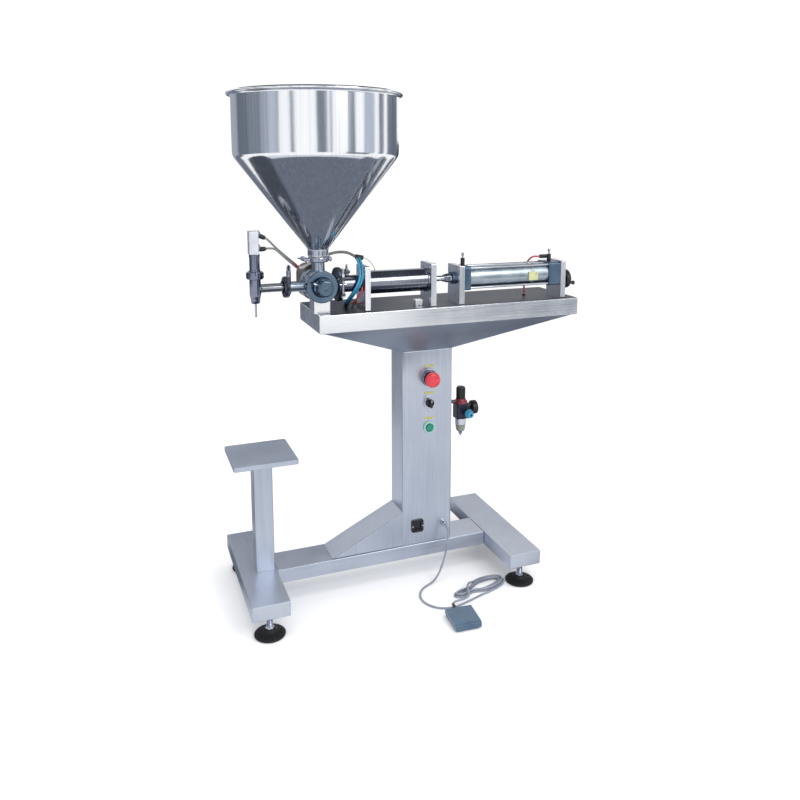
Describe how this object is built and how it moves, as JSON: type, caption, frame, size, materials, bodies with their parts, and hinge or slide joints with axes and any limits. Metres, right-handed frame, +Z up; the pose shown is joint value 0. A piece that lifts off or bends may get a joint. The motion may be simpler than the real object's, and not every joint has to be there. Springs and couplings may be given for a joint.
{
  "type": "pneumatic filling machine",
  "caption": "Floor-standing pneumatic piston filler: hopper over a rotary valve, product and air cylinders on a tray, lift nozzle, container platform, foot switch on a cord.",
  "frame": {"origin": "on the floor under the middle of the machine and its foot switch, the cord left out", "axes": "+X along the machine from the nozzle to the handwheel, +Y to the back, +Z up"},
  "size_m": [0.9926, 0.558, 1.342],
  "materials": {
    "brushed_steel": "brushed stainless steel",
    "polished_steel": "polished stainless steel",
    "plate_steel": "bright satin stainless steel",
    "dark_steel": "dark satin",
    "aluminium": "satin anodised",
    "black_plastic": "matte black",
    "black_rubber": "black rubber",
    "red_plastic": "glossy red",
    "green_plastic": "glossy green",
    "clear_plastic": "clear",
    "pedal_paint": "blue-grey paint",
    "cord_plastic": "pale grey jacket",
    "grey_hose": "grey tube",
    "blue_hose": "blue tube",
    "red_hose": "red tube"
  },
  "bodies": {
    "machine": {"left_foot_beam": "brushed_steel", "right_foot_beam": "brushed_steel", "base_beam": "brushed_steel", "column": "brushed_steel", "platform_post": "brushed_steel", "platform": "brushed_steel", "tray": "brushed_steel", "hopper": "polished_steel", "hopper_clamp": "polished_steel", "valve_body": "polished_steel", "valve_cover": "polished_steel", "valve_actuator": "dark_steel", "outlet_clamp": "polished_steel", "nozzle_body": "polished_steel", "nozzle_tip": "polished_steel", "nozzle_clamp": "black_plastic", "nozzle_yoke": "polished_steel", "nozzle_cylinder": "aluminium", "cylinder_clamp": "dark_steel", "front_plate": "plate_steel", "product_cylinder": "polished_steel", "rear_plate": "plate_steel", "drive_plate": "plate_steel", "air_cylinder_front_cap": "dark_steel", "air_cylinder_barrel": "aluminium", "air_cylinder_rear_cap": "aluminium", "end_plate": "plate_steel", "emergency_stop_collar": "aluminium", "start_button_bezel": "polished_steel", "power_inlet": "black_plastic", "cable_gland": "aluminium", "regulator_body": "black_plastic", "regulator_bowl": "clear_plastic", "pressure_gauge": "black_plastic", "pedal_base": "pedal_paint", "upper_nozzle_hose": "grey_hose", "lower_nozzle_hose": "grey_hose", "valve_hose": "blue_hose", "plate_hose": "red_hose", "rear_hose": "red_hose", "foot_cord": "cord_plastic", "foot_cord_hank": "cord_plastic"},
    "stroke_rod": {"product_piston": "polished_steel", "air_piston": "polished_steel"},
    "rotor": {"valve_rotor": "polished_steel"},
    "needle": {"nozzle_needle": "polished_steel"},
    "stop_head": {"emergency_stop_button": "red_plastic"},
    "selector": {"selector_knob": "black_plastic"},
    "start": {"start_button": "green_plastic"},
    "pressure_knob": {"regulator_knob": "black_plastic"},
    "wheel": {"handwheel": "black_plastic"},
    "grip": {"handwheel_grip": "polished_steel"},
    "treadle": {"pedal_treadle": "pedal_paint"},
    "foot_1": {"levelling_foot_1": "black_rubber"},
    "foot_2": {"levelling_foot_2": "black_rubber"},
    "foot_3": {"levelling_foot_3": "black_rubber"},
    "foot_4": {"levelling_foot_4": "black_rubber"},
    "hopper_nut": {"hopper_clamp_nut": "polished_steel"},
    "outlet_nut": {"outlet_clamp_nut": "polished_steel"}
  },
  "joints": [
    {"name": "piston_stroke", "type": "slide", "parent": "machine", "child": "stroke_rod", "axis": [-1, 0, 0], "range_m": [0, 0.12]},
    {"name": "rotor_turn", "type": "hinge", "parent": "machine", "child": "rotor", "pos_m": [-0.25977, 0.00751, 0.863], "axis": [0, 1, 0], "range_deg": [0, 90]},
    {"name": "needle_lift", "type": "slide", "parent": "machine", "child": "needle", "axis": [0, 0, 1], "range_m": [0, 0.008]},
    {"name": "stop_press", "type": "slide", "parent": "machine", "child": "stop_head", "axis": [0, 1, 0], "range_m": [0, 0.005]},
    {"name": "selector_turn", "type": "hinge", "parent": "machine", "child": "selector", "pos_m": [0.05423, 0.01851, 0.5125], "axis": [0, 1, 0], "range_deg": [-45, 45]},
    {"name": "start_press", "type": "slide", "parent": "machine", "child": "start", "axis": [0, 1, 0], "range_m": [0, 0.003], "stiffness_N_per_m": 800, "springref_m": -0.001},
    {"name": "pressure_turn", "type": "hinge", "parent": "machine", "child": "pressure_knob", "pos_m": [0.16922, 0.05451, 0.519], "axis": [0, 0, 1], "continuous": true},
    {"name": "wheel_turn", "type": "hinge", "parent": "machine", "child": "wheel", "pos_m": [0.47523, 0.00751, 0.842], "axis": [1, 0, 0], "continuous": true},
    {"name": "grip_spin", "type": "hinge", "parent": "wheel", "child": "grip", "pos_m": [0.48523, -0.01057, 0.83131], "axis": [1, 0, 0], "continuous": true},
    {"name": "treadle_press", "type": "hinge", "parent": "machine", "child": "treadle", "pos_m": [0.04595, -0.20254, 0.014], "axis": [0.9986, -0.0523, 0], "range_deg": [0, 3], "stiffness_Nm_per_rad": 6, "springref_deg": -8.59},
    {"name": "foot_1_turn", "type": "hinge", "parent": "machine", "child": "foot_1", "pos_m": [-0.43177, -0.11049, 0], "axis": [0, 0, 1], "continuous": true},
    {"name": "foot_2_turn", "type": "hinge", "parent": "machine", "child": "foot_2", "pos_m": [-0.43177, 0.23951, 0], "axis": [0, 0, 1], "continuous": true},
    {"name": "foot_3_turn", "type": "hinge", "parent": "machine", "child": "foot_3", "pos_m": [0.28123, -0.11049, 0], "axis": [0, 0, 1], "continuous": true},
    {"name": "foot_4_turn", "type": "hinge", "parent": "machine", "child": "foot_4", "pos_m": [0.28123, 0.23951, 0], "axis": [0, 0, 1], "continuous": true},
    {"name": "hopper_nut_turn", "type": "hinge", "parent": "machine", "child": "hopper_nut", "pos_m": [-0.29357, 0.03401, 0.93015], "axis": [0, 1, 0], "continuous": true},
    {"name": "outlet_nut_turn", "type": "hinge", "parent": "machine", "child": "outlet_nut", "pos_m": [-0.34477, -0.02729, 0.876], "axis": [0, 0, 1], "continuous": true}
  ]
}
